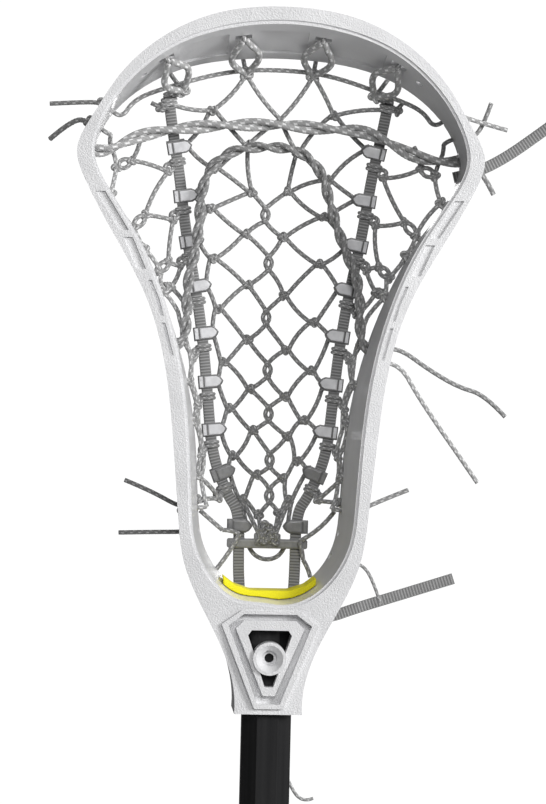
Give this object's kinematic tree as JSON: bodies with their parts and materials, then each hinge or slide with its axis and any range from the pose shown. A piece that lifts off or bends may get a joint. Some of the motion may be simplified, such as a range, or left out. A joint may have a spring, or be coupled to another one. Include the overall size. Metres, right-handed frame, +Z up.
{
  "type": "lacrosse stick",
  "caption": "Women's lacrosse stick: an octagonal shaft with a moulded head, a laced runner pocket with clips and a sliding pocket bar, and a foam ball stop.",
  "frame": {"origin": "middle of the butt end's flat face, on the shaft's axis", "axes": "+Z up the shaft to the scoop, -Y out of the ball side of the head, +X to the right seen from the ball side"},
  "size_m": [0.2709, 0.0697, 1.0808],
  "materials": {
    "head_plastic": "satin silver-white moulded nylon, finely pebbled on the outer band",
    "shaft_metal": "satin black anodised",
    "cap_rubber": "matte",
    "screw_steel": "zinc plated",
    "pad_foam": "matte closed-cell foam",
    "clip_plastic": "satin pale silver-grey moulded plastic; the picture can't tell it from metal",
    "bar_plastic": "satin grey",
    "thong_webbing": "ribbed woven grey",
    "cord_braid": "grey braid with white flecks"
  },
  "bodies": {
    "stick": {"arch_tail_lower": "cord_braid", "arch_tail_upper": "cord_braid", "ball_stop_pad": "pad_foam", "crosslace_inner_left": "cord_braid", "crosslace_inner_right": "cord_braid", "crosslace_middle_left": "cord_braid", "crosslace_middle_right": "cord_braid", "crosslace_outer_left": "cord_braid", "crosslace_outer_right": "cord_braid", "end_cap": "cap_rubber", "head_frame": "head_plastic", "head_screw": "screw_steel", "lace_tail_left": "cord_braid", "lace_tail_right": "cord_braid", "low_string_tail_left": "cord_braid", "low_string_tail_right": "cord_braid", "pocket_arch_back": "cord_braid", "pocket_arch_front": "cord_braid", "runner_clip_left_1": "clip_plastic", "runner_clip_left_2": "clip_plastic", "runner_clip_left_3": "clip_plastic", "runner_clip_left_4": "clip_plastic", "runner_clip_left_5": "clip_plastic", "runner_clip_left_6": "clip_plastic", "runner_clip_left_7": "clip_plastic", "runner_clip_left_8": "clip_plastic", "runner_clip_left_9": "clip_plastic", "runner_clip_right_1": "clip_plastic", "runner_clip_right_2": "clip_plastic", "runner_clip_right_3": "clip_plastic", "runner_clip_right_4": "clip_plastic", "runner_clip_right_5": "clip_plastic", "runner_clip_right_6": "clip_plastic", "runner_clip_right_7": "clip_plastic", "runner_clip_right_8": "clip_plastic", "runner_clip_right_9": "clip_plastic", "runner_thong_left": "thong_webbing", "runner_thong_right": "thong_webbing", "runner_thong_tail": "thong_webbing", "scoop_ties": "cord_braid", "shaft": "shaft_metal", "shooting_string_lower": "cord_braid", "shooting_string_upper": "cord_braid", "shooting_thong_tail": "thong_webbing", "side_lace_left": "cord_braid", "side_lace_right": "cord_braid", "side_string_left": "cord_braid", "side_string_right": "cord_braid", "side_string_tail_left": "cord_braid", "side_string_tail_right": "cord_braid", "tie_cord_tail": "cord_braid", "top_string": "cord_braid", "top_string_tail_left": "cord_braid", "top_string_tail_right": "cord_braid", "upper_lace_left": "cord_braid", "upper_lace_right": "cord_braid"},
    "pocket_bar": {"pocket_bar": "bar_plastic", "bar_tie": "cord_braid"}
  },
  "joints": [
    {"name": "pocket_bar_slide", "type": "slide", "parent": "stick", "child": "pocket_bar", "axis": [0, 0, 1], "range_m": [-0.006, 0.002]}
  ]
}
